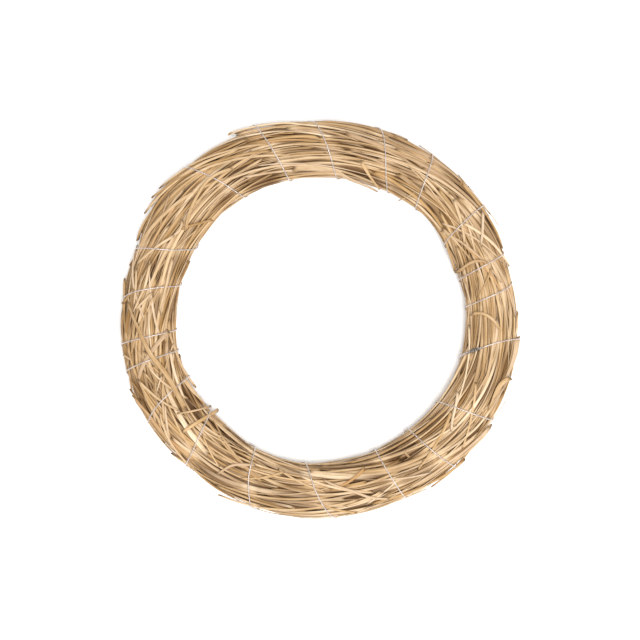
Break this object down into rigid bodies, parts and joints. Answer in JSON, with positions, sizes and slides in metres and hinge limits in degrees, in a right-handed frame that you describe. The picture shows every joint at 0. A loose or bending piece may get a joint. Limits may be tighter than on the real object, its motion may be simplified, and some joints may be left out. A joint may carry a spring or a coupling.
{
  "type": "wreath frame",
  "caption": "Round straw wreath frame: overlapping handfuls of dried straw laid round a hidden wire hoop and bound with one spiral of thin wire, ready to be decorated.",
  "frame": {"origin": "centre of the ring, on the surface that its flat back lies on", "axes": "+Z out of the decorated front, +Y towards the top of the ring as it hangs, +X to the right as seen from the front"},
  "size_m": [0.2998, 0.2999, 0.0368],
  "materials": {
    "straw": "dry matt straw with a faint waxy sheen",
    "binding_wire": "thin galvanised wire, dull silver",
    "hoop_wire": "plain annealed steel wire"
  },
  "bodies": {
    "root": {"core_hoop": "hoop_wire", "binding_wire": "binding_wire", "straw_handful_01": "straw", "straw_handful_02": "straw", "straw_handful_03": "straw", "straw_handful_04": "straw", "straw_handful_05": "straw", "straw_handful_06": "straw", "straw_handful_07": "straw", "straw_handful_08": "straw", "straw_handful_09": "straw", "straw_handful_10": "straw", "straw_handful_11": "straw", "straw_handful_12": "straw", "straw_handful_13": "straw", "straw_handful_14": "straw", "straw_handful_15": "straw", "straw_handful_16": "straw", "straw_handful_17": "straw", "straw_handful_18": "straw", "straw_handful_19": "straw", "straw_handful_20": "straw", "loose_straw_01": "straw", "loose_straw_02": "straw", "loose_straw_03": "straw", "loose_straw_04": "straw", "loose_straw_05": "straw", "loose_straw_06": "straw", "loose_straw_07": "straw", "loose_straw_08": "straw", "loose_straw_09": "straw", "loose_straw_10": "straw"}
  },
  "joints": []
}
